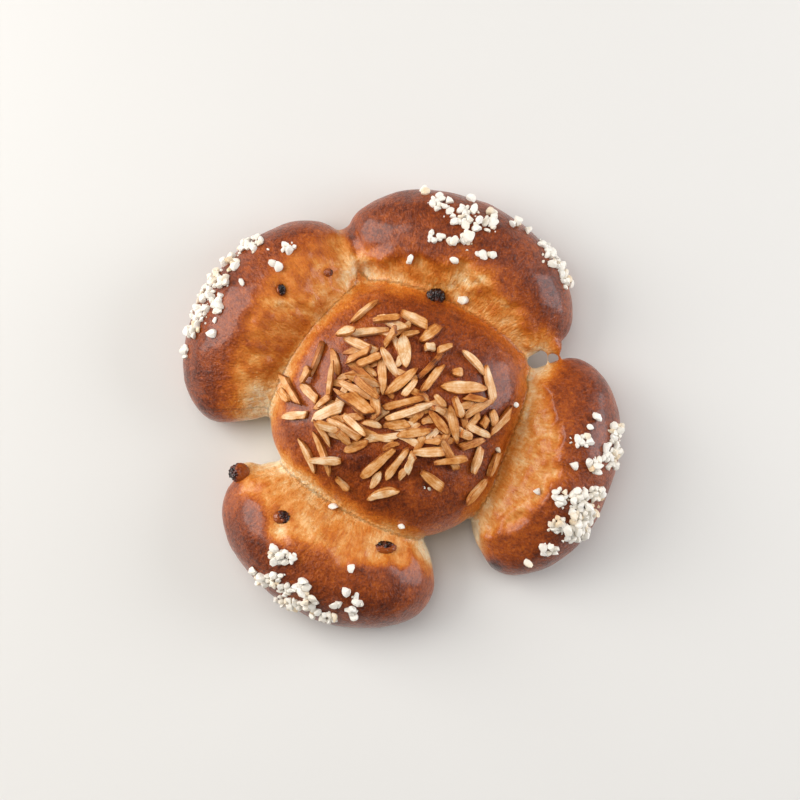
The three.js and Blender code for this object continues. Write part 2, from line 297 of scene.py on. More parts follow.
def bunGauges(points):
    # for each bun: 1 on its own skin and less inside; for the outer ones, how far along and across
    angle = np.degrees(np.arctan2(points[:, 1], points[:, 0]))
    radius = np.hypot(points[:, 0], points[:, 1])
    z = points[:, 2]

    def gauge(plan, equator, rise, drop):
        up = np.where(z > equator, (z - equator) / rise, (equator - z) / drop)
        vertical = np.where(z > equator, 1.0, dough["foot"])
        return (plan ** (2 / vertical) + up ** (2 / vertical)) ** (vertical / 2)

    plan = radius / centreRadius(angle)
    rise = dough["centreHeight"] - dough["centreEquator"]
    gauges = [gauge(plan, dough["centreEquator"], rise, dough["centreDrop"])]
    coordinates = []
    for bun in outerBuns:
        along = turnBetween(angle, bun["heading"]) / bun["halfSpan"]
        across = (radius - bun["ring"] - np.clip(along, -1, 1) * bun["lean"]) / bun["halfWidth"]
        square = np.where(across < 0, dough["inward"], dough["outward"])
        plan = (np.abs(along) ** (2 / square) + np.abs(across) ** (2 / square)) ** (square / 2)
        rise = (bun["height"] - dough["outerEquator"]) * innerSlope(across)
        gauges.append(gauge(plan, dough["outerEquator"], rise, dough["outerDrop"]))
        coordinates.append((along, across))
    return np.array(gauges), coordinates


def smoothed(values, edges, passes, weight):
    # moves each vertex's numbers towards the mean of its neighbours'
    grid = values.reshape(len(values), -1)
    count = np.bincount(edges.ravel(), minlength=len(grid))[:, None]
    for _ in range(passes):
        total = np.zeros_like(grid)
        np.add.at(total, edges[:, 0], grid[edges[:, 1]])
        np.add.at(total, edges[:, 1], grid[edges[:, 0]])
        grid = grid + (total / count - grid) * weight
    return grid.reshape(values.shape)


def meshEdges(mesh):
    edges = np.empty(len(mesh.edges) * 2, np.int32)
    mesh.edges.foreach_get("vertices", edges)
    return edges.reshape(-1, 2)


def meshPoints(mesh):
    points = np.empty(len(mesh.vertices) * 3, np.float32)
    mesh.vertices.foreach_get("co", points)
    return points.reshape(-1, 3).astype(float) / mm


def meshNormals(mesh):
    normals = np.empty(len(mesh.vertices) * 3, np.float32)
    mesh.vertex_normals.foreach_get("vector", normals)
    return normals.reshape(-1, 3).astype(float)


def setPoints(mesh, points):
    mesh.vertices.foreach_set("co", (points * mm).astype(np.float32).ravel())
    mesh.update()


def makeCrust():
    # egg-washed yeast crust: a thin glossy skin, brown where it is dry and golden where it
    # stretched late, with pores and wrinkles that break up every shine
    material, tree = newMaterial("eggWashedCrust")
    place = addNode(tree, "ShaderNodeTexCoord").outputs["Object"]
    brown, torn = (addNode(tree, "ShaderNodeAttribute", {"attribute_name": name}).outputs["Fac"]
                   for name in ("brown", "torn"))
    skin = addNode(tree, "ShaderNodeAttribute", {"attribute_name": "skin"}).outputs["Vector"]
    # the skin attribute counts millimetres along the bun, across it and up
    along = addNode(tree, "ShaderNodeMapping", {"Scale": (0.9, 0.42, 0.5)}, {"Vector": skin})
    across = addNode(tree, "ShaderNodeMapping", {"Scale": (0.5, 0.15, 0.2)}, {"Vector": skin})

    patch, fleck, pore = (  # patches that the oven coloured more, flecks and pores, by their mm across
        addNode(tree, "ShaderNodeTexNoise", {"Scale": 1000 / size, "Detail": detail, "Roughness": rough},
                {"Vector": place})
        for size, detail, rough in ((11, 4, 0.6), (2.6, 4, 0.65), (1.1, 3, 0.7))
    )
    wrinkle = addNode(tree, "ShaderNodeTexNoise", {"Scale": 1.0, "Detail": 3}, {"Vector": along})
    fibre = addNode(tree, "ShaderNodeTexNoise",  # the stretched dough's strands
                    {"Scale": 1.0, "Detail": 4, "Roughness": 0.55, "Distortion": 0.6}, {"Vector": across})
    mottle = addNode(tree, "ShaderNodeTexNoise",
                     {"Scale": 1000 / 7, "Detail": 5, "Roughness": 0.62, "Distortion": 0.5},
                     {"Vector": place})
    blister = addNode(tree, "ShaderNodeTexVoronoi",
                      {"feature": "SMOOTH_F1", "Scale": 1000 / 3.4, "Smoothness": 0.3}, {"Vector": place})
    bead = addNode(tree, "ShaderNodeMapRange",  # tiny pale blisters under the egg wash
                   {"From Min": 0.2, "From Max": 0.08}, {"Value": blister.outputs["Distance"]})
    crowd = addNode(tree, "ShaderNodeMapRange", {"From Min": 0.52, "From Max": 0.66}, {"Value": patch})
    bead = addNode(tree, "ShaderNodeMath", {"operation": "MULTIPLY"}, {0: bead, 1: crowd})

    # from 0, cream, to 1, almost black: the baked tone with each pattern added to it
    speckle = addNode(tree, "ShaderNodeMath", {"operation": "ADD"}, {0: fleck, 1: pore})
    speckle = addNode(tree, "ShaderNodeMath", {"operation": "SUBTRACT", 1: 1.0}, {0: speckle})
    quiet = addNode(tree, "ShaderNodeMath", {"operation": "MULTIPLY_ADD", 1: -0.6, 2: 1.0}, {0: torn})
    speckle = addNode(tree, "ShaderNodeMath", {"operation": "MULTIPLY"}, {0: speckle, 1: quiet})
    shade = addNode(tree, "ShaderNodeMath", {"operation": "MULTIPLY_ADD", 1: 0.5}, {0: speckle, 2: brown})
    for source, amount in ((patch, 0.45), (wrinkle, 0.14)):
        centred = addNode(tree, "ShaderNodeMath", {"operation": "SUBTRACT", 1: 0.5}, {0: source})
        shade = addNode(tree, "ShaderNodeMath", {"operation": "MULTIPLY_ADD", 1: amount},
                        {0: centred, 2: shade})
    strand = addNode(tree, "ShaderNodeMath", {"operation": "MULTIPLY_ADD", 1: 1.6}, {0: mottle, 2: fibre})
    strand = addNode(tree, "ShaderNodeMath", {"operation": "SUBTRACT", 1: 1.3}, {0: strand})
    strand = addNode(tree, "ShaderNodeMath", {"operation": "MULTIPLY"}, {0: strand, 1: torn})
    for source, amount in ((strand, 0.36), (bead, -0.16)):
        shade = addNode(tree, "ShaderNodeMath", {"operation": "MULTIPLY_ADD", 1: amount},
                        {0: source, 2: shade})
    color = addNode(tree, "ShaderNodeValToRGB", {"stops": (
        (0.0, "F2DCB4"), (0.13, "E9B87C"), (0.28, "D98F44"), (0.42, "C9701F"),
        (0.56, "B35A16"), (0.7, "954310"), (0.85, "702D0B"), (1.0, "451809"),
    )}, {"Fac": shade})

    rough = addNode(tree, "ShaderNodeMath", {"operation": "MULTIPLY_ADD", 1: 0.08, 2: 0.26}, {0: torn})
    rough = addNode(tree, "ShaderNodeMath", {"operation": "MULTIPLY_ADD", 1: 0.22}, {0: fleck, 2: rough})
    wash = addNode(tree, "ShaderNodeMath", {"operation": "MULTIPLY_ADD", 1: -0.12, 2: 0.5}, {0: torn})
    height = wrinkle
    for source, amount in ((fleck, 0.6), (pore, 0.55), (strand, 0.6), (bead, 0.5)):
        height = addNode(tree, "ShaderNodeMath", {"operation": "MULTIPLY_ADD", 1: amount},
                         {0: source, 2: height})
    bump = addNode(tree, "ShaderNodeBump", {"Strength": 0.85, "Distance": 0.9 * mm}, {"Height": height})
    shader = addNode(tree, "ShaderNodeBsdfPrincipled", {
        "IOR": 1.42, "Coat Roughness": 0.18, "Coat IOR": 1.45,
        "Subsurface Weight": 0.08, "Subsurface Radius": (1.0, 0.4, 0.15), "Subsurface Scale": 2 * mm,
    }, {"Base Color": color, "Roughness": rough, "Coat Weight": wash, "Normal": bump})
    addNode(tree, "ShaderNodeOutputMaterial", links={"Surface": shader})
    return material


def makeBread():
    points, faces = makeShells()
    rough = meshPiece("shells", points * mm, faces, makeCrust())
    remesh = rough.modifiers.new("weld", "REMESH")
    remesh.mode = "VOXEL"
    remesh.voxel_size = dough["voxel"] * mm
    piece = frozenPiece("bread", rough)
    mesh = piece.data

    edges = meshEdges(mesh)
    points = smoothed(meshPoints(mesh), edges, 4, 0.5)
    gauges, coordinates = bunGauges(points)
    offset = np.abs(gauges - 1)
    order = np.argsort(offset, axis=0)
    owner = order[0]
    seam = np.take_along_axis(offset, order[1:2], 0)[0] * dough["seamScale"]
    outer = owner > 0
    along, across, tear, lip, gold = np.zeros((5, len(points)))
    for index, (bun, (a, c)) in enumerate(zip(outerBuns, coordinates), 1):
        bend = bun["tear"] + bun["tearTurn"] * a + bun["tearBend"] * a * a
        for values, own in ((along, a), (across, c), (tear, bend), (lip, bun["lip"]), (gold, bun["gold"])):
            np.copyto(values, own, where=owner == index)
    z = points[:, 2]
    angle = np.degrees(np.arctan2(points[:, 1], points[:, 0]))
    radius = np.hypot(points[:, 0], points[:, 1])
    arc = np.where(outer, np.radians(angle) * 80, points[:, 0])
    radial = np.where(outer, radius, points[:, 1])
    pulled = np.stack((arc / 4, radial / 12, z / 12), 1)
    broad = lumps(points, 24, 1)
    middle = lumps(points, 9, 2)
    small = lumps(points, 3.6, 3)
    ropes = lumps(pulled, 1, 4)

    # the side that the round bun's rise pulled open is golden, uneven and less glossy
    edge = across - tear + 0.1 * broad + 0.12 * middle + 0.05 * small
    torn = np.where(outer, smoothStep(0.08, -0.06, edge), 0) * smoothStep(10, 18, z)
    ridge = np.where(outer, np.exp(-((edge - 0.06) / 0.12) ** 2), 0) * smoothStep(16, 26, z)
    ridge *= lip * np.maximum(0.6 + 1.1 * middle, 0)  # patchy

    cream = np.zeros(len(points))
    for x, y, reach, strength in creamSpots:
        far = np.hypot(points[:, 0] - x, points[:, 1] - y) + 0.25 * reach * middle
        cream = np.maximum(cream, strength * np.exp(-(far / reach) ** 2))
    cream *= np.where(outer, 1, 0.25) * smoothStep(-2, 6, z)
    marked = np.zeros(len(points))
    darkened = np.zeros(len(points))
    # each mark lifts or sinks the crust and shifts its tone: oven browning, plus painted shade in pits and
    # painted highlights on raised lumps
    for x, y, reach, height, browningAndPaintedLight in crustMarks:
        close = np.exp(-(np.hypot(points[:, 0] - x, points[:, 1] - y) / reach) ** 2 * 1.6)
        close *= smoothStep(8, 16, z)
        marked += height * close
        darkened += browningAndPaintedLight * close

    # each fold lifts or sinks the crust; its tone is browning, plus painted shade in the crease and painted
    # highlights along raised folds
    for start, end, width, height, browningAndPaintedLight in crustFolds:
        way = np.array(end) - start
        t = np.clip((points[:, :2] - start) @ way / (way @ way), 0, 1)
        away = np.linalg.norm(points[:, :2] - start - t[:, None] * way, axis=1) + 0.6 * small
        close = np.exp(-(away / width) ** 2) * smoothStep(8, 16, z)
        marked += dough["fold"] * height * close
        darkened += dough["fold"] * browningAndPaintedLight * close

    setPoints(mesh, points)
    normals = meshNormals(mesh)
    lift = crustLift["broad"] * broad + crustLift["middle"] * middle + crustLift["small"] * small
    lift = lift + crustLift["ridge"] * ridge + marked
    band = crustLift["bandRopes"] * ropes + crustLift["bandMiddle"] * middle + crustLift["bandSmall"] * small
    lift += torn * (smoothStep(0, 6, seam) * band - crustLift["bandSunk"] * lip)  # clean where buns meet
    lift -= dough["crease"] * np.exp(-(seam / 1.6) ** 2) * (1 - 0.7 * cream)
    lift = smoothed(lift * smoothStep(0, 5, z), edges, 3, 0.6)  # no teeth where two buns meet
    points = smoothed(points + normals * lift[:, None], edges, 2, 0.5)
    seamShare = np.exp(-(seam / 3) ** 2)[:, None]  # the seams run smooth along the buns
    points += (smoothed(points, edges, 8, 0.6) - points) * seamShare
    points[:, 2] = np.maximum(points[:, 2], 0)
    setPoints(mesh, points)

    # the egg-washed tops are browned most, then the golden band, and the creases least
    tone = crustTone
    skinTone = tone["band"] + tone["skin"] * smoothStep(-0.08, 0.16, edge)
    skinTone = skinTone + tone["top"] * smoothStep(0.2, 0.7, edge)
    mottled = gold + tone["bandMiddle"] * middle + tone["bandRopes"] * ropes
    skinTone += torn * (mottled - tone["bandInner"] * smoothStep(0, 0.5, -edge))
    skinTone -= tone["outerSeam"] * np.exp(-(seam / 3) ** 2)
    facing = np.cos(np.radians(turnBetween(angle, tone["rimHeading"])))
    rim = (tone["rimShare"] + (1 - tone["rimShare"]) * facing) * smoothStep(15, 1, seam + 2 * middle)
    # painted light: the round bun is lighter towards its left, where the key lamp falls, and darker towards
    # its right
    centreTone = tone["centre"] + tone["centrePaintedSideLight"] * points[:, 0]
    centreTone -= tone["centreRim"] * rim + tone["centreSeam"] * np.exp(-(seam / 2) ** 2)
    brown = np.where(outer, skinTone, centreTone)
    ends = smoothStep(0.8, 1.0, np.abs(along)) * smoothStep(0.25, -0.25, across) * outer
    brown = brown * (1 - tone["cream"] * cream) * (1 - tone["ends"] * ends)
    brown -= np.where(outer, tone["outerLow"], tone["centreLow"]) * smoothStep(26, 6, z) * smoothStep(0, 3, z)
    # the marks' and folds' tone goes in here: oven browning with their painted shade and painted highlights
    brown += tone["foot"] * smoothStep(1.8, 0.2, z) + darkened + tone["broad"] * broad
    storeFloat(mesh, "brown", smoothed(brown, edges, 5, 0.6))
    storeFloat(mesh, "torn", smoothed(torn, edges, 5, 0.6))
    storeVector(mesh, "skin", np.stack((arc, radial, z), 1))
    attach(piece, "root")
    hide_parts("bread")
    return piece


bread = makeBread()
breadTree = BVHTree.FromObject(bread, bpy.context.evaluated_depsgraph_get())
print("bread", len(bread.data.polygons), "faces")


# raisins: dried grapes, baked until the skin is almost black

raisinLook = {"columns": 64, "rows": 40, "body": 0.8, "wrinkle": 0.34, "fold": 2.2, "fine": 0.06, "film": 0.2}
# how each lies: heading of the side under a film of dough, share of it covered, mm sunk, size
raisinLie = (
    (-90, 0.1, 0, 1), (0, 0.6, 0, 1), (200, 0.5, 1.2, 1),
    (-90, 0.6, 1.9, 1.1), (200, 0.3, 1.4, 0.72), (180, 0.85, 0, 1),
)


def makeRaisinSkin():
    # dried grape skin: near-black and glossy on its wrinkles, red-brown under a film of dough
    material, tree = newMaterial("raisinSkin")
    place = addNode(tree, "ShaderNodeTexCoord").outputs["Object"]
    film = addNode(tree, "ShaderNodeAttribute", {"attribute_name": "film"}).outputs["Fac"]
    tone = addNode(tree, "ShaderNodeTexNoise", {"Scale": 1000 / 2.5, "Detail": 3}, {"Vector": place})
    crease = addNode(tree, "ShaderNodeTexNoise", {"Scale": 1000 / 0.8, "Detail": 4}, {"Vector": place})
    shade = addNode(tree, "ShaderNodeMath", {"operation": "MULTIPLY_ADD", 1: 0.55}, {0: film, 2: tone})
    color = addNode(tree, "ShaderNodeValToRGB", {"stops": (
        (0.35, "0E0605"), (0.55, "2B1009"), (0.78, "6B2810"), (1.0, "934718"),
    )}, {"Fac": shade})
    bump = addNode(tree, "ShaderNodeBump", {"Strength": 0.6, "Distance": 0.3 * mm}, {"Height": crease})
    shader = addNode(tree, "ShaderNodeBsdfPrincipled", {
        "Roughness": 0.34, "IOR": 1.46, "Coat Weight": 0.5, "Coat Roughness": 0.16,
    }, {"Base Color": color, "Normal": bump})
    addNode(tree, "ShaderNodeOutputMaterial", links={"Surface": shader})
    return material


def makeRaisin(node, index, skin):
    low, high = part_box(node)
    centre = np.array((low + high) / 2) / mm
    half = np.array((high - low) / 2) / mm
    heading, covered, sunk, size = raisinLie[index]
    grid, faces = ballGrid(raisinLook["columns"], raisinLook["rows"])
    side = grid @ (math.cos(math.radians(heading)), math.sin(math.radians(heading)), 0)
    fine = lumps(grid * 7, 1, 40 + index, 2)
    film = smoothStep(-0.35, 0.35, side + 2 * covered - 1 + 0.3 * lumps(grid * 2, 1, 60 + index, 2))
    fold = 1 - np.abs(lumps(grid * raisinLook["fold"], 1, 20 + index, 2))
    wrinkled = raisinLook["wrinkle"] * (1 - 0.7 * film)
    swell = raisinLook["body"] + wrinkled * fold ** 3 + raisinLook["film"] * film + raisinLook["fine"] * fine
    points = grid * swell[:, None] * half * size + centre - (0, 0, sunk)
    piece = meshPiece(f"bakedRaisin_{index + 1}", points * mm, faces, skin)
    storeFloat(piece.data, "film", film)
    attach(piece, "root")
    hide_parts(node)


raisinSkin = makeRaisinSkin()
for index, node in enumerate(named("raisin_")):
    makeRaisin(node, index, raisinSkin)
print("raisins done")


# toppings share one tree: shapes on points, made uneven, and given a finish

def makeToppingTree():
    tree = bpy.data.node_groups.new("toppings", "GeometryNodeTree")
    face = tree.interface
    face.new_socket("Geometry", in_out="INPUT", socket_type="NodeSocketGeometry")
    for name, kind in (("Shapes", "Collection"), ("Finish", "Material"), ("Uneven", "Float"),
                       ("Uneven size", "Float")):
        face.new_socket(name, in_out="INPUT", socket_type=f"NodeSocket{kind}")
    face.new_socket("Geometry", in_out="OUTPUT", socket_type="NodeSocketGeometry")
    given = addNode(tree, "NodeGroupInput").outputs
    shapes = addNode(tree, "GeometryNodeCollectionInfo", {"Separate Children": True, "Reset Children": True},
                     {"Collection": given["Shapes"]})
    stored = {}
    for name, kind in (("turn", "FLOAT_VECTOR"), ("shape", "INT"), ("size", "FLOAT_VECTOR")):
        stored[name] = addNode(tree, "GeometryNodeInputNamedAttribute", {"data_type": kind, "Name": name})
    turn = addNode(tree, "FunctionNodeEulerToRotation", links={"Euler": stored["turn"]})
    laid = addNode(tree, "GeometryNodeInstanceOnPoints", {"Pick Instance": True}, {
        "Points": given["Geometry"], "Instance": shapes, "Instance Index": stored["shape"],
        "Rotation": turn, "Scale": stored["size"],
    })
    real = addNode(tree, "GeometryNodeRealizeInstances", links={"Geometry": laid})
    inverse = addNode(tree, "ShaderNodeMath", {"operation": "DIVIDE", 0: 1.0}, {1: given["Uneven size"]})
    wave = addNode(tree, "ShaderNodeTexNoise", {"Detail": 2}, {"Scale": inverse})
    middle = addNode(tree, "ShaderNodeVectorMath", {"operation": "SUBTRACT", 1: (0.5, 0.5, 0.5)},
                     {0: wave.outputs["Color"]})
    push = addNode(tree, "ShaderNodeVectorMath", {"operation": "SCALE"},
                   {0: middle, "Scale": given["Uneven"]})
    moved = addNode(tree, "GeometryNodeSetPosition", links={"Geometry": real, "Offset": push})
    finished = addNode(tree, "GeometryNodeSetMaterial",
                       links={"Geometry": moved, "Material": given["Finish"]})
    addNode(tree, "NodeGroupOutput", links={"Geometry": finished})
    return tree


toppingTree = makeToppingTree()


def scatterPiece(name, places, shapes, finish, look):
    # places: point, axes, sizes in mm, shape and tone of each; look: how uneven they get and over
    # how many mm, and the degrees from which an edge stays crisp
    mesh = bpy.data.meshes.new(name)
    mesh.from_pydata([tuple(p["at"] * mm) for p in places], [], [])
    storeVector(mesh, "turn", np.array([tuple(p["axes"].to_euler()) for p in places]))
    storeVector(mesh, "size", np.array([p["size"] for p in places]) * mm)
    storeFloat(mesh, "tone", np.array([p["tone"] for p in places]))
    mesh.attributes.new("shape", "INT", "POINT").data.foreach_set("value", [p["shape"] for p in places])
    holder = addObject(name + "Points", mesh)
    pool = bpy.data.collections.new(name + "Shapes")
    bpy.context.scene.collection.children.link(pool)
    for shape in shapes:
        pool.objects.link(shape)
    modifier = holder.modifiers.new("scatter", "NODES")
    modifier.node_group = toppingTree
    values = {"Shapes": pool, "Finish": finish, "Uneven": look["uneven"] * mm,
              "Uneven size": look["unevenSize"] * mm}
    for item in toppingTree.interface.items_tree:
        if item.in_out == "INPUT" and item.name in values:
            modifier[item.identifier] = values[item.name]
    piece = frozenPiece(name, holder)
    piece.data.set_sharp_from_angle(angle=math.radians(look["sharp"]))
    for shape in shapes:
        bpy.data.objects.remove(shape)
    bpy.data.collections.remove(pool)
    return piece


# almond slivers: blanched kernels split lengthways and toasted on the cake

sliverLook = {
    "thickness": 2.8, "broad": 1.08, "edge": 0.17,  # edge rounds the corners, 0 for none
    "sunk": 0.6, "buried": 1.0,  # mm into what a sliver lies on, and how much lower the hidden ones lie
    "palest": 0.1, "brownest": 0.7, "seed": 21,
    "variants": 6, "stations": 14, "ring": 12,  # shapes of each kind, and sections and points round each
    "uneven": 0.7, "unevenSize": 3.5, "sharp": 36,
    "stickFill": 0.86, "sliceFill": 0.76,  # share of its box that a stick's or a slice's outline fills
}
# how brown each sliver of the frame is, from 0, cream
frameTones = (
    0.45, 0.25, 0.1, 0.3, 0.45, 0.35, 0.3, 0.4, 0.8, 0.35, 0.3, 0.45, 0.5, 0.15,
    0.05, 0.4, 0.55, 0.2, 0.3, 0.5, 0.25, 0.15, 0.6, 0.45, 0.4, 0.3, 0.45, 0.55,
    0.35, 0.5, 0.65, 0.55, 0.45, 0.3, 0.5, 0.3, 0.2, 0.65, 0.4, 0.2, 0.6, 0.35,
)
# slivers between and on the ones that the frame holds: x, y, heading, length, width, kind
looseSlivers = (
    (-26, 36, 18, 10, 3.8, 1), (-7, 42, 8, 13, 3.4, 0), (-45, 16, 63, 8.5, 3.4, 0),
    (-55, 6, -49, 12, 3.6, 2), (-33, 14, 84, 18, 2.6, 0), (-20, 25, 24, 12, 3.4, 0),
    (-15, 23, 24, 12, 3.8, 0), (-36, 4, 38, 9.5, 3, 0), (-37, -11, -56, 15, 3, 3),
    (-34, -8, -18, 11, 3.4, 0), (-22, -8, -41, 15, 3.6, 0), (-14, -7, -12, 10, 3.6, 3),
    (-27, -13, -45, 9, 3.4, 2), (-36, -24, -1, 15, 3.4, 0), (-28, -35, -47, 8.5, 2.8, 0),
    (-12, -33, 63, 10, 4, 1), (1, -30, 50, 8, 3.4, 3), (4, -25, 68, 10, 3.4, 0),
    (33, -16, 19, 13, 3.8, 2), (23, -24, 8, 16, 3.4, 0), (15, -15, 2, 8, 3, 0),
    (-2, -7, 2, 11, 4.2, 0), (4, -1, 19, 24, 3.6, 0), (18, 4, -50, 8, 3.4, 1),
    (17, 0, -25, 7.5, 3, 0), (26, 1, -70, 10.5, 3.4, 0), (35, 5, -12, 10, 3.4, 2),
    (43, -4, -76, 7, 3.4, 0), (36, -10, -24, 13, 3.6, 0), (39, -6, 60, 5, 3.6, 0),
    (30, -12, -25, 7, 4, 2), (26, 17, 0, 5.5, 4.2, 0), (20, 28, 22, 10, 3.4, 2),
    (14, 14, 53, 15.5, 3.4, 0), (4, 10, 52, 10, 3.6, 0), (-5, 34, 54, 10, 3, 0),
    (13, 29, 0, 5, 4.2, 0), (-6, 22, -62, 16, 4, 1), (-20, 2, -38, 16, 7, 2),
    (-18, 14, -14, 17, 4.4, 1), (-16, 10, -40, 15, 3.8, 0),
)
# slivers under those, which fill the heap
buriedSlivers = (
    (-9, -13, 5, 18, 3.4, 0), (-5, -17, 20, 9, 3.4, 3), (7, -3, 50, 9, 4.2, 0), (12, -5, 20, 7, 3.8, 0),
    (-31, -3, -40, 14, 3.4, 0), (4, 35, 12, 9, 3, 0), (-17, -10, -30, 13, 3.6, 0), (2, -8, 10, 14, 4.2, 1),
    (20, -2, -58, 13, 3.6, 3), (8, -17, 65, 11, 3.8, 0), (0, 24, 62, 11, 3.2, 0), (-13, 12, -58, 12, 3.4, 0),
    (29, -4, -80, 12, 3.6, 1), (12, 2, 12, 13, 3.4, 0), (-27, 8, 58, 13, 3.4, 0), (-36, 2, 20, 12, 3.8, 3),
    (-24, -4, 5, 12, 3.6, 0), (-7, 9, -48, 11, 3.4, 0), (-10, -3, 35, 12, 3.6, 0), (3, -14, -25, 11, 3.4, 0),
    (14, -12, 42, 12, 3.6, 1), (19, -14, -15, 11, 3.4, 0), (8, 7, -30, 11, 3.4, 0),
    (-17, 20, -38, 15, 3.4, 0),
    (-24, 16, 18, 14, 3.4, 0), (-10, 22, 30, 12, 3.4, 1), (-28, 11, -14, 16, 3.6, 3),
    (-12, 7, -86, 15, 3.4, 0),
    (-2, 2, 14, 18, 3.4, 0), (9, -1, 16, 17, 3.4, 0), (-3, -7, 6, 12, 3.8, 1), (18, -8, -55, 13, 3.6, 1),
    (-10, -13, -8, 13, 3.2, 0), (8, -11, 4, 13, 3.6, 0), (20, -13, 62, 11, 3.4, 0),
    (26, -10, -30, 12, 3.4, 3),
    (33, -6, 50, 11, 3.4, 0), (2, 16, -20, 12, 3.4, 0), (-2, 30, -60, 11, 3.4, 0), (-9, 36, -12, 12, 3.4, 0),
    (-21, 28, 20, 14, 3.6, 1), (-30, -12, -20, 12, 3.4, 0), (0, 37, 30, 11, 3.4, 0), (31, 2, 15, 13, 3.6, 1),
)


def sliverShape(index, kind, seed):
    # a unit sliver lofted along x: 0 stick, 1 lens, 2 slice, 3 half-moon
    rng = random.Random(seed)
    count = sliverLook["stations"]
    ring = sliverLook["ring"]
    stations = [-1, *np.linspace(-0.965, 0.965, count - 2), 1]
    phase = rng.uniform(0, 6)
    taper = rng.uniform(-0.22, 0.22)
    ends = (rng.uniform(0.4, 1), rng.uniform(0.4, 1))  # how wide each end is left by the knife
    thin = rng.uniform(0.8, 1)
    skew = rng.uniform(-0.34, 0.34)  # the ends are cut askew
    twist = rng.uniform(-0.22, 0.22)
    arch = rng.uniform(-0.1, 0.22)
    darkened = rng.choice((-1, 1))  # the side that got more heat
    points = []
    toast = []
    for t in stations:
        bulge = max(1 - t * t, 0)
        nib = 1 + (ends[int(t > 0)] - 1) * max(abs(t) - 0.72, 0) / 0.28
        wide = {0: 0.5 * (1 - 0.5 * abs(taper) + taper * t) * nib, 1: 0.05 + 0.46 * bulge ** 0.65,
                2: 0.5 * (1 - 0.55 * max(t, 0) ** 2), 3: 0.05 + 0.42 * bulge ** 0.65}[kind]
        thick = {0: 0.48, 1: 0.18 + 0.3 * bulge ** 0.5, 2: 0.38, 3: 0.2 + 0.28 * bulge ** 0.5}[kind]
        shift = {0: 0, 1: 0, 2: 0, 3: 0.3 * bulge - 0.12}[kind]
        worn = 0.82 if abs(t) == 1 else 1.0
        wide *= worn * sliverLook["broad"] * (0.96 + 0.08 * math.sin(3.1 * t + phase))
        thick *= worn * thin * (1 + 0.1 * math.sin(2.3 * t + 2 * phase))
        for k in range(ring):
            a = 2 * math.pi * (k + 0.5) / ring
            y = math.copysign(abs(math.cos(a)) ** sliverLook["edge"], math.cos(a)) * wide
            z = math.copysign(abs(math.sin(a)) ** sliverLook["edge"], math.sin(a)) * thick
            turned = z + twist * t * y
            x = t * 0.5 + skew * y * abs(t) ** 3
            points.append((x, y + shift - twist * t * z, turned + arch * bulge))
            side = 1 if math.cos(a) * darkened > 0.4 else 0
            corner = abs(math.sin(2 * a)) ** 2
            tip = 0.2 * (kind in (1, 3)) * (1 - bulge)
            toast.append(0.5 * side + 0.55 * corner + 0.45 * (abs(t) > 0.95) + tip)
    faces = []
    for s in range(count - 1):
        for k in range(ring):
            n = (k + 1) % ring
            faces.append((s * ring + n, s * ring + k, (s + 1) * ring + k, (s + 1) * ring + n))
    last = (count - 1) * ring
    faces.append(tuple(range(ring)))
    faces.append(tuple(range(last + ring - 1, last - 1, -1)))
    mesh = bpy.data.meshes.new(f"sliverShape_{index:02d}")
    mesh.from_pydata(points, [], faces)
    tidy = bmesh.new()
    tidy.from_mesh(mesh)
    bmesh.ops.recalc_face_normals(tidy, faces=tidy.faces)
    tidy.to_mesh(mesh)
    tidy.free()
    storeFloat(mesh, "toast", np.array(toast))
    storeVector(mesh, "kernel", np.array(points) + (index * 3.7, index * 1.3, 0))  # no two share fibres
    return bpy.data.objects.new(mesh.name, mesh)


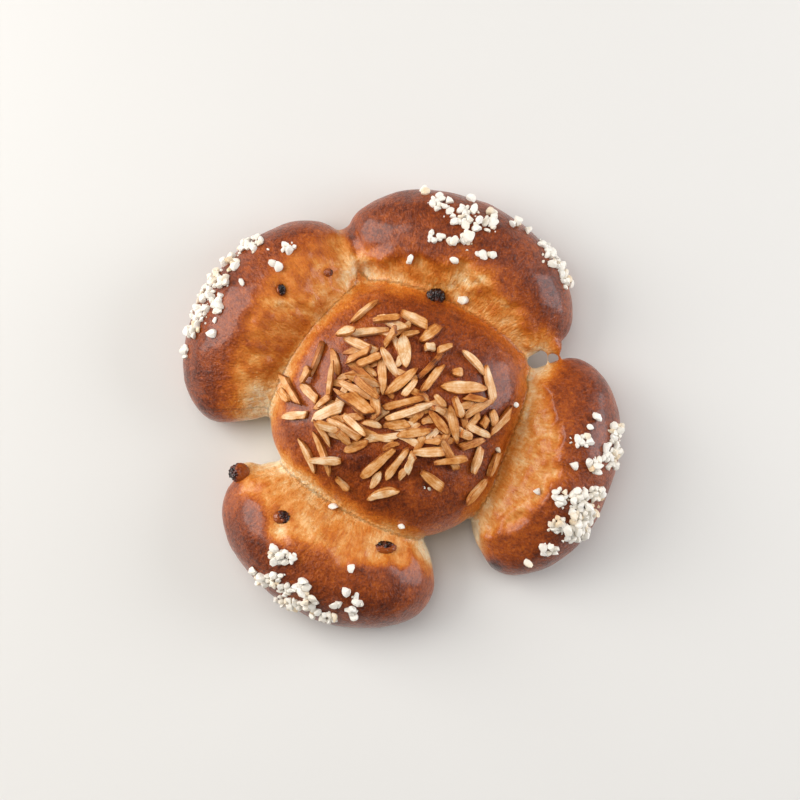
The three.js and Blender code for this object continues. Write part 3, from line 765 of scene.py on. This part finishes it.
def makeToastedAlmond():
    # toasted blanched almond: tan flesh with fibres along it, browned at thin edges and cuts
    material, tree = newMaterial("toastedAlmond")
    place = addNode(tree, "ShaderNodeTexCoord").outputs["Object"]
    toast = addNode(tree, "ShaderNodeAttribute", {"attribute_name": "toast"}).outputs["Fac"]
    tone = addNode(tree, "ShaderNodeAttribute", {"attribute_name": "tone"}).outputs["Fac"]
    kernel = addNode(tree, "ShaderNodeAttribute", {"attribute_name": "kernel"}).outputs["Vector"]
    stretched = addNode(tree, "ShaderNodeMapping", {"Scale": (1.6, 6, 6)}, {"Vector": kernel})
    fibre = addNode(tree, "ShaderNodeTexNoise", {"Scale": 1.0, "Detail": 4, "Roughness": 0.65},
                    {"Vector": stretched})
    patch = addNode(tree, "ShaderNodeTexNoise", {"Scale": 1000 / 5, "Detail": 3}, {"Vector": place})
    grit = addNode(tree, "ShaderNodeTexNoise", {"Scale": 1000 / 0.9, "Detail": 3}, {"Vector": place})
    shade = addNode(tree, "ShaderNodeMath", {"operation": "MULTIPLY", 1: 0.55}, {0: toast})
    shade = addNode(tree, "ShaderNodeMath", {"operation": "MULTIPLY_ADD", 1: 0.62}, {0: tone, 2: shade})
    for source, amount in ((patch, 1.0), (fibre, 0.9), (grit, 0.3)):
        centred = addNode(tree, "ShaderNodeMath", {"operation": "SUBTRACT", 1: 0.5}, {0: source})
        shade = addNode(tree, "ShaderNodeMath", {"operation": "MULTIPLY_ADD", 1: amount},
                        {0: centred, 2: shade})
    color = addNode(tree, "ShaderNodeValToRGB", {"stops": (
        (0.0, "EED2AC"), (0.22, "DFAE7A"), (0.45, "CB8843"), (0.68, "A65A1C"), (1.0, "5A2A0D"),
    )}, {"Fac": shade})
    height = addNode(tree, "ShaderNodeMath", {"operation": "MULTIPLY_ADD", 1: 0.5}, {0: grit, 2: fibre})
    bump = addNode(tree, "ShaderNodeBump", {"Strength": 0.55, "Distance": 0.3 * mm}, {"Height": height})
    shader = addNode(tree, "ShaderNodeBsdfPrincipled", {
        "Roughness": 0.46, "IOR": 1.45,
        "Subsurface Weight": 0.08, "Subsurface Radius": (1.0, 0.6, 0.3), "Subsurface Scale": 1 * mm,
    }, {"Base Color": color, "Normal": bump})
    addNode(tree, "ShaderNodeOutputMaterial", links={"Surface": shader})
    return material


def sliverPlace(node):
    # a frame sliver's own middle, axes and size, from its flat top face
    mesh = nodes[node].data
    points = meshPoints(mesh)
    faces = np.array([tuple(p.vertices) for p in mesh.polygons])
    a, b, c = points[faces[:, 0]], points[faces[:, 1]], points[faces[:, 2]]
    cross = np.cross(b - a, c - a)
    area = np.linalg.norm(cross, axis=1) / 2
    up = cross[np.argmax(area)] / np.linalg.norm(cross[np.argmax(area)])
    capped = (cross / (2 * area[:, None] + 1e-12)) @ up > 0.999
    up = up if up[2] > 0 else -up
    a, b, c, area = a[capped], b[capped], c[capped], area[capped]
    middle = ((a + b + c) / 3 * area[:, None]).sum(0) / area.sum()
    spread = np.zeros((3, 3))
    for corners, size in zip(np.stack((a, b, c), 1) - middle, area):
        spread += size / 12 * (corners.T @ corners + np.outer(corners.sum(0), corners.sum(0)))
    along = np.linalg.eigh(spread)[1][:, 2]
    side = np.cross(up, along)
    centre = points.mean(0)
    belly = (middle - centre) @ side
    if belly < -0.05:
        along, side = -along, -side
    length, width, deep = (np.ptp(points @ axis) for axis in (along, side, up))
    for axis in (along, side, up):
        centre = centre + axis * (((points @ axis).max() + (points @ axis).min()) / 2 - centre @ axis)
    fill = area.sum() / (length * width)
    lopsided = abs(belly) > 0.05 * width
    flat = 0 if fill > sliverLook["stickFill"] else 2
    return {
        "at": centre - up * sliverLook["sunk"],
        "axes": Matrix((along, side, up)).transposed(),
        "size": (length, width, deep),
        "kind": flat if fill > sliverLook["sliceFill"] else 3 if lopsided else 1,
    }


boxFaces = ((0, 1, 3, 2), (4, 6, 7, 5), (0, 4, 5, 1), (2, 3, 7, 6), (0, 2, 6, 4), (1, 5, 7, 3))


def boxesTree(places):
    signs = np.array([(x, y, z) for x in (-1, 1) for y in (-1, 1) for z in (-1, 1)])
    points = []
    faces = []
    for place in places:
        base = len(points)
        corners = place["at"] + (signs * np.array(place["size"]) / 2) @ np.array(place["axes"]).T
        points += [Vector(corner) * mm for corner in corners]
        faces += [tuple(base + i for i in face) for face in boxFaces]
    return BVHTree.FromPolygons(points, faces)


def heightAt(trees, x, y):
    tops = [tree.ray_cast(Vector((x, y, 200)) * mm, Vector((0, 0, -1)))[0] for tree in trees]
    return max((top.z / mm for top in tops if top), default=0.0)


def settle(x, y, heading, length, width, kind, trees):
    # the sliver lies on the two highest points under it, one at each side of its middle
    angle = math.radians(heading)
    way = np.array((math.cos(angle), math.sin(angle)))
    side = np.array((-way[1], way[0]))
    middle = np.array((x, y))
    steps = np.linspace(-0.46, 0.46, 9) * length
    tops = np.array([
        max(heightAt(trees, *(middle + way * step + side * width * off)) for off in (-0.3, 0, 0.3))
        for step in steps
    ])
    level, slope = tops[4], 0.0
    for i in range(4):
        for j in range(5, 9):
            tilt = (tops[j] - tops[i]) / (steps[j] - steps[i])
            base = tops[i] - tilt * steps[i]
            if np.all(tops <= base + tilt * steps + 0.25):
                level, slope = base, tilt
    left = heightAt(trees, *(middle + side * width * 0.4))
    right = heightAt(trees, *(middle - side * width * 0.4))
    roll = max(-0.5, min(0.5, (left - right) / (width * 0.8)))
    along = Vector((way[0], way[1], slope)).normalized()
    up = along.cross(Vector((side[0], side[1], roll))).normalized()
    return {
        "at": np.array(Vector((x, y, level)) + up * (sliverLook["thickness"] / 2 - sliverLook["sunk"])),
        "axes": Matrix((along, up.cross(along), up)).transposed(),
        "size": (length, width, sliverLook["thickness"]),
        "kind": kind,
    }


def makeSlivers():
    places = [sliverPlace(node) for node in named("almond_sliver_")]
    for place, tone in zip(places, frameTones):
        place["tone"] = tone
    rng = random.Random(sliverLook["seed"])
    for row in looseSlivers:
        places.append(settle(*row, (breadTree, boxesTree(places))))
    for row in buriedSlivers:
        places.append(settle(*row, (breadTree,)))
        places[-1]["at"][2] -= sliverLook["buried"]
    for place in places[len(frameTones):]:
        place["tone"] = rng.uniform(sliverLook["palest"], sliverLook["brownest"])
    variants = sliverLook["variants"]
    shapes = [sliverShape(kind * variants + i, kind, 100 * kind + i)
              for kind in range(4) for i in range(variants)]
    for index, place in enumerate(places):
        place["shape"] = place["kind"] * variants + index % variants
    piece = scatterPiece("almondSlivers", places, shapes, makeToastedAlmond(), sliverLook)
    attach(piece, "root")
    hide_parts(*named("almond_sliver_"))
    return piece


almondSlivers = makeSlivers()
print("almond slivers", len(almondSlivers.data.polygons), "faces")


# pearl sugar: pressed lumps of white sugar that don't melt in the oven

sugarLook = {
    "grain": (1.2, 2.15), "crumb": (0.4, 0.8), "sunk": 0.3,
    "apart": 0.68,  # least distance between two grains, as a share of their radii
    "strewn": 1.5,  # how much further out the crumbs lie
    "tries": 14, "piled": 9, "pile": 0.9,  # tries for a grain, those on the crust, the next layer's rise
    "seed": 12, "shapes": 9, "cuts": 11, "cutDepth": (0.55, 0.8), "lumpy": 0.25, "swell": 1.18,
    "uneven": 0.35, "unevenSize": 1.6, "sharp": 28,
}
# clusters: x, y, half width, half depth, grains
sugarClusters = (
    (-72, 79, 7, 4, 13), (-81, 70, 4, 4, 9), (-91, 62, 6, 4, 11), (-84, 61, 2, 3, 3), (-93, 55, 4, 4, 10),
    (-87, 50, 3, 4, 6), (-96, 46, 4, 6, 13), (-99, 38, 3, 4, 8), (-88, 43, 1, 1, 1), (-90, 36, 1, 1, 2),
    (-103, 29, 1, 2, 3), (-102, 25, 1, 1, 1), (-54, 77, 3.5, 2.5, 4), (-60, 68, 2, 1, 2), (-75, 60, 1, 1, 1),
    (18, 98, 5, 4, 9), (12, 104, 1.5, 1, 2), (33, 100, 2, 1, 2), (28, 92, 6, 4, 13), (35, 87, 2, 2, 3),
    (16, 82, 4, 2, 6), (24, 80, 2, 1, 3), (31, 82, 2.5, 5, 6), (42, 88, 3, 4, 6), (37, 73, 2, 1, 2),
    (43, 73, 2, 1, 3), (43, 93, 2, 1, 2), (54, 88, 2, 1, 3), (60, 85, 1, 1, 1), (68, 79, 2, 2, 4),
    (72, 74, 4, 5, 10), (77, 69, 2, 2, 4), (79, 62, 2, 5, 7), (4, 71, 1.5, 1.5, 2), (25, 70, 1, 1, 1),
    (30, 52, 1, 1, 1),
    (92, -4, 1, 1, 2), (90, -8, 1, 1, 1), (85, -15, 4, 2.5, 7), (81, -26, 1, 1, 2), (90, -27, 3, 3, 6),
    (102, -11, 3, 4, 13), (100, -22, 4, 7, 20), (95, -25, 2, 2, 3), (75, -41, 3, 4, 8), (84, -41, 4, 3.5, 13),
    (92, -40, 4, 3.5, 11), (86, -50, 6, 5.5, 26), (74, -55, 4, 4, 12), (83, -59, 6, 3.5, 16),
    (70, -67, 3.5, 2.5, 6), (61, -73, 1, 1, 2), (64, -40, 1, 1, 1),
    (-61, -67, 2, 2, 5), (-55, -70, 5, 3, 11), (-71, -77, 1, 1, 2), (-67, -82, 2.5, 2, 5),
    (-61, -81, 5, 3, 11), (-55, -86, 3, 3, 8), (-47, -84, 3.5, 4, 10), (-58, -91, 2, 1.5, 4),
    (-51, -93, 6, 2.5, 11), (-43, -91, 3, 3, 8), (-41, -96, 2, 2, 4), (-35, -99, 4, 2, 7),
    (-30, -92, 2, 1, 3), (-24, -97, 2, 3, 5), (-26, -86, 1, 1, 2), (-21, -90, 2, 2.5, 4), (-24, -75, 1, 1, 1),
    (54, 2, 0.5, 0.5, 1), (46, -19, 0.5, 0.5, 1), (12, -37.5, 1.2, 0.8, 0),
    (-32, -47, 0.5, 0.5, 1), (0, -55, 0.5, 0.5, 1),
)


def grainShape(index):
    # a lumpy ball with a few faces broken off flat
    rng = random.Random(300 + index)
    lump = bmesh.new()
    bmesh.ops.create_icosphere(lump, subdivisions=2, radius=1)
    cuts = []
    for _ in range(sugarLook["cuts"]):
        way = Vector((rng.gauss(0, 1), rng.gauss(0, 1), rng.gauss(0, 1))).normalized()
        cuts.append((way, rng.uniform(*sugarLook["cutDepth"])))
    shift = Vector((index * 3.1, index * 1.7, 0))
    for vert in lump.verts:
        vert.co *= 1 + sugarLook["lumpy"] * noise.noise(vert.co * 1.4 + shift)
        for way, depth in cuts:
            vert.co -= way * max(vert.co.dot(way) - depth, 0)
        vert.co *= sugarLook["swell"]
    mesh = bpy.data.meshes.new(f"grainShape_{index}")
    lump.to_mesh(mesh)
    lump.free()
    return bpy.data.objects.new(mesh.name, mesh)


def makePearlSugar():
    # pearl sugar: compressed sugar crystals, chalk white, a little glassy, some grains caramelised
    material, tree = newMaterial("pearlSugar")
    place = addNode(tree, "ShaderNodeTexCoord").outputs["Object"]
    tone = addNode(tree, "ShaderNodeAttribute", {"attribute_name": "tone"}).outputs["Fac"]
    crystal = addNode(tree, "ShaderNodeTexNoise", {"Scale": 1000 / 0.8, "Detail": 4}, {"Vector": place})
    stain = addNode(tree, "ShaderNodeTexNoise", {"Scale": 1000 / 9, "Detail": 2}, {"Vector": place})
    stain = addNode(tree, "ShaderNodeMath", {"operation": "MULTIPLY_ADD", 1: 0.7}, {0: stain, 2: tone})
    stain = addNode(tree, "ShaderNodeMath", {"operation": "MULTIPLY_ADD", 1: 0.3}, {0: crystal, 2: stain})
    color = addNode(tree, "ShaderNodeValToRGB", {"stops": (
        (0.0, "F3EFE8"), (0.72, "ECE5D8"), (0.86, "E6CFAC"), (1.0, "CC9656"),
    )}, {"Fac": addNode(tree, "ShaderNodeMath", {"operation": "MULTIPLY", 1: 0.56}, {0: stain})})
    bump = addNode(tree, "ShaderNodeBump", {"Strength": 0.5, "Distance": 0.3 * mm}, {"Height": crystal})
    shader = addNode(tree, "ShaderNodeBsdfPrincipled", {
        "Roughness": 0.45, "IOR": 1.5,
        "Subsurface Weight": 0.25, "Subsurface Radius": (1.0, 0.95, 0.85), "Subsurface Scale": 0.8 * mm,
    }, {"Base Color": color, "Normal": bump})
    addNode(tree, "ShaderNodeOutputMaterial", links={"Surface": shader})
    return material


def grainPlace(x, y, size, rng, layer):
    point, normal, _, _ = breadTree.ray_cast(Vector((x, y, 90)) * mm, Vector((0, 0, -1)))
    if point is None:
        point, normal, _, _ = breadTree.find_nearest(Vector((x, y, 26)) * mm)
    spin = Matrix.Rotation(rng.uniform(0, 6.28), 3, "Z") @ Matrix.Rotation(rng.uniform(0, 6.28), 3, "X")
    return {
        "at": np.array(point / mm + normal.normalized() * (size * (0.7 + layer) - sugarLook["sunk"])),
        "axes": spin, "size": (size * rng.uniform(0.95, 1.3), size, size * rng.uniform(0.75, 1)),
        "shape": rng.randrange(sugarLook["shapes"]), "radius": size, "tone": rng.random(),
    }


def makeSugar():
    rng = random.Random(sugarLook["seed"])
    places = []
    for node in named("sugar_lump_"):
        low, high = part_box(node)
        middle = (low + high) / 2 / mm
        place = grainPlace(middle.x, middle.y, (high - low).x / mm * 0.55, rng, 0)
        place["at"] = np.array(middle)
        places.append(place)
    for x, y, wide, deep, grains in sugarClusters:
        made = 0
        crumbs = grains // 3 if grains else 3
        for attempt in range((grains or 1) * sugarLook["tries"]):
            if made == grains + crumbs:
                break
            crumb = made >= grains  # a few crumbs lie around each cluster
            turn = rng.uniform(0, 2 * math.pi)
            reach = math.sqrt(rng.random()) * (sugarLook["strewn"] if crumb else 1)
            size = rng.uniform(*sugarLook["crumb" if crumb else "grain"])
            layer = sugarLook["pile"] if attempt > grains * sugarLook["piled"] and not crumb else 0
            spot = x + wide * reach * math.cos(turn), y + deep * reach * math.sin(turn)
            place = grainPlace(*spot, size, rng, layer)
            near = (np.linalg.norm(place["at"] - other["at"]) / (size + other["radius"]) for other in places)
            if all(n > sugarLook["apart"] for n in near):
                places.append(place)
                made += 1
    shapes = [grainShape(index) for index in range(sugarLook["shapes"])]
    piece = scatterPiece("pearlSugarGrains", places, shapes, makePearlSugar(), sugarLook)
    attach(piece, "root")
    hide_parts(*named("sugar_lump_"))
    return piece


pearlSugar = makeSugar()
print("pearl sugar", len(pearlSugar.data.polygons), "faces")


# table, light and camera

studio = {"cameraHeight": 1090, "lens": 100, "aimX": -0.7, "aimY": 4.3, "tableHalf": 12000,
          "sky": 0.34, "skyTint": (1.0, 0.98, 0.95, 1),
          "ceiling": 1.0, "ceilingSpread": 40, "ceilingTurn": (-22, -12, 0)}
# name, place, side, watts and tint of the lamps that shine on the crust
softboxes = (
    ("softboxLeft", (-900, 330, 640), 850, 12.5, (1.0, 0.98, 0.96)),
    ("softboxRight", (1000, 130, 430), 750, 8.5, (0.93, 0.95, 1.0)),
)


def makeTable():
    # matt painted board: even, pale and without shine
    material, tree = newMaterial("mattPaleBoard")
    place = addNode(tree, "ShaderNodeTexCoord").outputs["Object"]
    tone = addNode(tree, "ShaderNodeTexNoise", {"Scale": 2.0, "Detail": 2}, {"Vector": place})
    color = addNode(tree, "ShaderNodeValToRGB", {"stops": ((0.3, "D5D3CF"), (0.7, "D8D6D2"))}, {"Fac": tone})
    shader = addNode(tree, "ShaderNodeBsdfPrincipled", {"Roughness": 0.85}, {"Base Color": color})
    addNode(tree, "ShaderNodeOutputMaterial", links={"Surface": shader})
    half = studio["tableHalf"] * mm
    corners = [(-half, -half, 0), (half, -half, 0), (half, half, 0), (-half, half, 0)]
    table = meshPiece("table", corners, [(0, 1, 2, 3)], material)


def makeLight(name, place, side, power, tint):
    light = bpy.data.lights.new(name, "AREA")
    light.shape = "SQUARE"
    light.size = side * mm
    light.energy = power
    light.color = tint
    lamp = addObject(name, light)
    lamp.location = Vector(place) * mm
    lamp.rotation_euler = (Vector((0, 0, 20)) - Vector(place)).to_track_quat("-Z", "Y").to_euler()
    lamp.visible_camera = False


def makeCeilingGlow():
    # soft light from above that stays even far across the table and leaves no sheen on the crust
    light = bpy.data.lights.new("ceilingGlow", "SUN")
    light.energy = studio["ceiling"]
    light.angle = math.radians(studio["ceilingSpread"])
    lamp = addObject("ceilingGlow", light)
    lamp.rotation_euler = [math.radians(turn) for turn in studio["ceilingTurn"]]
    lamp.visible_glossy = False


def makeCamera():
    data = bpy.data.cameras.new("topView")
    data.lens = studio["lens"]
    data.clip_start = 0.01
    camera = addObject("topView", data)
    camera.location = Vector((studio["aimX"], studio["aimY"], studio["cameraHeight"])) * mm
    bpy.context.scene.camera = camera


world = bpy.data.worlds.new("studio")
world.use_nodes = True
sky = world.node_tree.nodes["Background"].inputs
sky["Color"].default_value = studio["skyTint"]
sky["Strength"].default_value = studio["sky"]
bpy.context.scene.world = world
world.cycles_visibility.glossy = False  # only the softboxes and the table shine on the crust
bpy.context.scene.view_settings.view_transform = "Standard"  # keeps the crust's deep browns
makeTable()
for softbox in softboxes:
    makeLight(*softbox)
makeCeilingGlow()
makeCamera()
